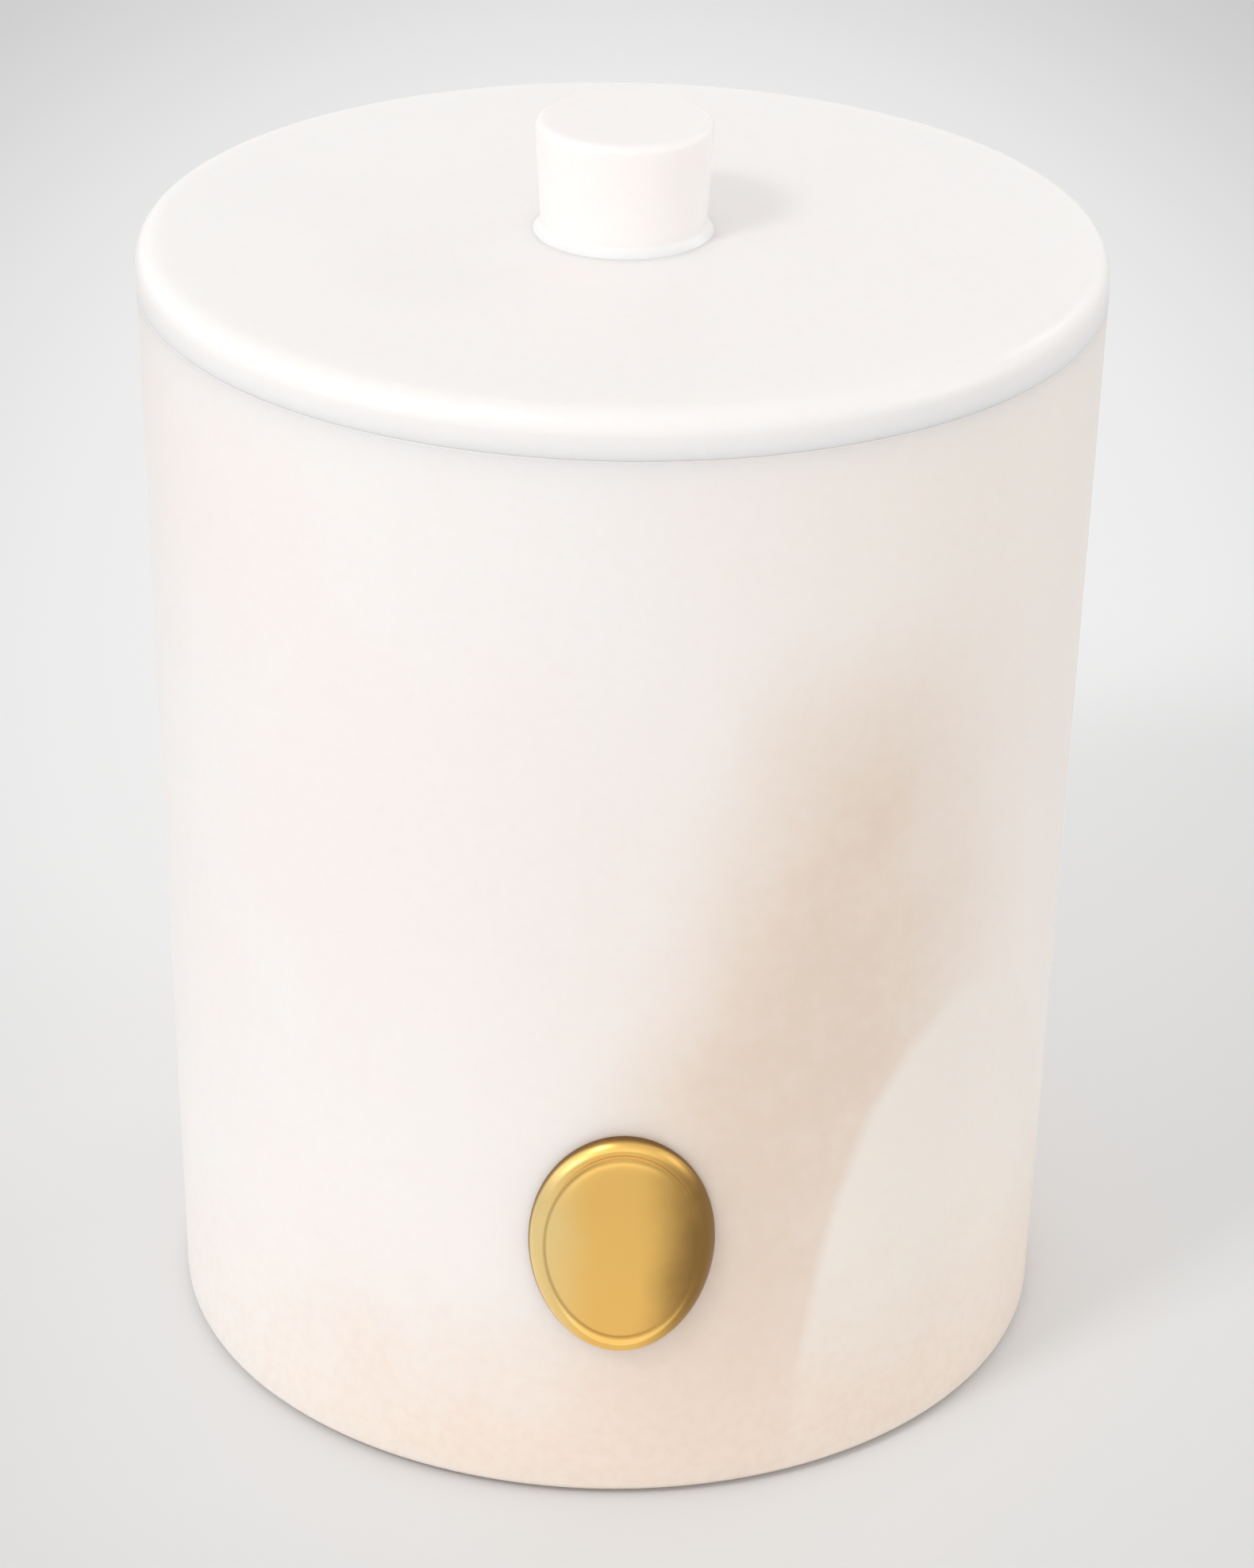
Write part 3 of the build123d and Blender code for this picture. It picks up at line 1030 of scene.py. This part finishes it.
# %% [markdown]
# ## The silicone ring
# It sits in the lid's groove, fills the gap to the mouth and stops the lid from rattling. It was moulded
# in two halves, and a fine line runs round it where they met. Silicone is cloudy and soft to light, so
# it gets a little subsurface scattering and a broad highlight.

# %% Mould the ring
WIRE_R = (SEAL_HIGH.z - SEAL_LOW.z) / 2  # within the CAD mesh, a hair less than the groove's value
WIRE_POINTS = 28
PARTING = 0.03 * MM

ring_line = []
for n in range(WIRE_POINTS):
    angle = TURN * n / WIRE_POINTS
    wire_r = WIRE_R - (0 if n in (0, WIRE_POINTS // 2) else PARTING)
    ring_line.append(Vector((SEAL_R + wire_r * cos(angle), SEAL_Z + wire_r * sin(angle))))
ring = lathe("silicone_ring", ring_line, turns=144, loop=True)
silicone = material("cloudy_silicone", IOR=1.41, Subsurface_Weight=0.3, Subsurface_Scale=1 * MM)
bloom = grain(silicone, object_place(silicone), 4 * MM, 4)
silicone_colour = between(silicone, bloom, (0.80, 0.785, 0.75, 1), (0.88, 0.87, 0.84, 1))
silicone_gloss = reckon(silicone, "MULTIPLY_ADD", bloom, 0.15, 0.38)
finish_shader(silicone, silicone_colour, silicone_gloss, bloom, 0.01 * MM)
fit(ring, "lid", "silicone", silicone, "lid_seal")

# %% [markdown]
# ## The glue behind the badge
# Only its edge could ever be seen, in the narrow gap round the badge's back, and the CAD shape is
# already right for that. It keeps its CAD mesh and gets a finish of its own.

# %% Glue finish
glue_finish = material("set_glue", IOR=1.5, Transmission_Weight=0.3)
glue_blush = grain(glue_finish, object_place(glue_finish), 1.5 * MM, 3)
glue_colour = between(glue_finish, glue_blush, (0.78, 0.72, 0.60, 1), (0.88, 0.84, 0.75, 1))
finish_shader(glue_finish, glue_colour, 0.4, glue_blush, 0.02 * MM)
glue_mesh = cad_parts["badge_glue"].data
glue_mesh.materials.clear()
glue_mesh.materials.append(glue_finish)
print("glue keeps its CAD mesh,", len(glue_mesh.polygons), "faces")

# %% [markdown]
# ## The table
# A wide sheet of pale grey paper, with a pool of light painted on it behind the object, as if a lamp lit
# it there. A ramp on the distance from the painted pool's middle does that, and it costs no light on the
# object. The paper is only the stage, so it is declared as one and isn't part of the object.

# %% Lay the paper
PAPER_HALF = 2.5
PAPER_EDGE = (0.598, 0.598, 0.598, 1)
# painted light: the paper's colour in the middle of the painted pool
PAPER_PAINTED_LIGHT = (0.90, 0.90, 0.90, 1)
PAINTED_POOL_AT = Vector((0.008, 0.20, 0))
PAINTED_POOL_REACH = Vector((0.132, 0.31, 1))
PAINTED_POOL_EDGE = 1.4, 0.4  # in parts of that reach

paper_shape = bmesh.new()
bmesh.ops.create_grid(paper_shape, x_segments=8, y_segments=8, size=PAPER_HALF)
paper = finished("table_paper", paper_shape)
paper_grey = material("paper_grey", Roughness=0.9)
paper_place = object_place(paper_grey, -PAINTED_POOL_AT)
painted_pool = node(paper_grey, "VectorMath", {"operation": "DIVIDE"})
feed(paper_grey, painted_pool.inputs[0], paper_place)
feed(paper_grey, painted_pool.inputs[1], PAINTED_POOL_REACH)
painted_pool_off = node(paper_grey, "VectorMath", {"operation": "LENGTH"})
feed(paper_grey, painted_pool_off.inputs[0], painted_pool.outputs[0])
# painted pool of light, paler towards its middle
painted_pool_light = ramp(paper_grey, painted_pool_off.outputs["Value"], *PAINTED_POOL_EDGE)
finish_shader(paper_grey, between(paper_grey, painted_pool_light, PAPER_EDGE, PAPER_PAINTED_LIGHT), 0.9)
paper.data.materials.append(paper_grey)
paper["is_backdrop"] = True

# %% [markdown]
# ## Light
# The picture is high in key. Most of the light comes from the World, which stands for a pale room: its
# walls are brighter than its ceiling, and a little brighter still towards a window at the front left.
# One dot product with the direction makes both slopes.
#
# Four softboxes add the rest. Even the strongest gives less than a fifth of the room's light, but it is
# they that show the shape. The key, high on the left, makes the soft shadow to the right, the shade
# beside the knob and the line of light on the lid's near edge. The window, low on the same side, gives
# the badge something bright to mirror. The fill lifts the right side, and the edge, behind on the right,
# picks out the lid and the knob there.

# %% Colour, room and softboxes
scene = bpy.context.scene
scene.view_settings.view_transform = "Standard"
ROOM = 1.25  # the walls' brightness
TOWARDS_WINDOW = Vector((-0.82, -0.57, 0)) * 0.10  # brighter by this much straight towards it
TOWARDS_CEILING = Vector((0, 0, 1)) * -0.65
room = bpy.data.worlds.new("pale_room")
room.use_nodes = True
background = room.node_tree.nodes["Background"]
background.inputs["Color"].default_value = (1.0, 1.0, 1.0, 1)
direction = node(room, "TexCoord").outputs["Generated"]
change = node(room, "VectorMath", {"operation": "DOT_PRODUCT"})
feed(room, change.inputs[0], direction)
feed(room, change.inputs[1], TOWARDS_WINDOW + TOWARDS_CEILING)
feed(room, background.inputs["Strength"], reckon(room, "ADD", change.outputs["Value"], ROOM))
scene.world = room


def softbox(name, around, above, distance, wide, high, watts):
    """A light that looks at the vessel's middle. around, in degrees, goes from the front to the left."""
    lamp = bpy.data.lights.new(name, "AREA")
    lamp.shape = "RECTANGLE"
    lamp.size = wide
    lamp.size_y = high
    lamp.energy = watts
    around, above = radians(around), radians(above)
    direction = Vector((-sin(around) * cos(above), -cos(around) * cos(above), sin(above)))
    middle = Vector((0, 0, RIM_Z / 2))
    holder = bpy.data.objects.new(name, lamp)
    holder.location = middle + direction * distance
    holder.rotation_euler = direction.to_track_quat("Z", "Y").to_euler()
    scene.collection.objects.link(holder)
    print(f"{name}: {watts} W at {tuple(round(c, 2) for c in holder.location)} m")


softbox("key", around=45, above=45, distance=1.1, wide=0.2, high=0.2, watts=2.2)
softbox("window", around=52, above=8, distance=1.2, wide=0.5, high=0.2, watts=1.0)
softbox("fill", around=-75, above=15, distance=1.2, wide=0.5, high=0.5, watts=1.05)
softbox("edge", around=-122, above=29, distance=1.2, wide=0.45, high=0.12, watts=0.8)

# %% [markdown]
# ## Camera
# The lens is long, about 100 mm on a full frame, and looks down at 27 degrees from about 45 cm away,
# which is why the sides draw in towards the base. It stands a touch left of the badge's middle, and is
# tilted by about one degree, as a camera held by hand is. Its place is in parts of the rim's radius, so
# the frame is still filled if the whole candle is made larger.

# %% Place the camera
CAMERA_AWAY = 8.695 * RIM_R
CAMERA_UP = 5.622 * RIM_R
CAMERA_ROUND = radians(1.77)
CAMERA_HEADING = CAMERA_ROUND + radians(0.18)
CAMERA_DOWN = radians(26.95)
CAMERA_ROLL = radians(1.01)
CAMERA_LENS = 102.64  # mm

lens = bpy.data.cameras.new("camera")
lens.lens = CAMERA_LENS
lens.sensor_width = 36
camera = bpy.data.objects.new("camera", lens)
ahead = Vector(
    (sin(CAMERA_HEADING) * cos(CAMERA_DOWN), cos(CAMERA_HEADING) * cos(CAMERA_DOWN), -sin(CAMERA_DOWN))
)
level = ahead.cross(Vector((0, 0, 1))).normalized()
upright = level.cross(ahead)
right = cos(CAMERA_ROLL) * level + sin(CAMERA_ROLL) * upright
up = cos(CAMERA_ROLL) * upright - sin(CAMERA_ROLL) * level
camera.matrix_world = Matrix.Translation(
    (-CAMERA_AWAY * sin(CAMERA_ROUND), -CAMERA_AWAY * cos(CAMERA_ROUND), CAMERA_UP)
) @ Matrix((right, up, -ahead)).transposed().to_4x4()
lens.clip_start = 0.01
scene.collection.objects.link(camera)
scene.camera = camera

# %% [markdown]
# ## Print the sizes and finish
# The pieces must fill the same box as the CAD model. Both boxes are printed for comparison.

# %% Print the boxes and finish
visual_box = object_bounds()
sizes = {
    "cad": [list(corner) for corner in cad_box],
    "visual": [list(corner) for corner in visual_box],
}
for name, box in sizes.items():
    print(name, [[round(value / MM, 2) for value in corner] for corner in box])
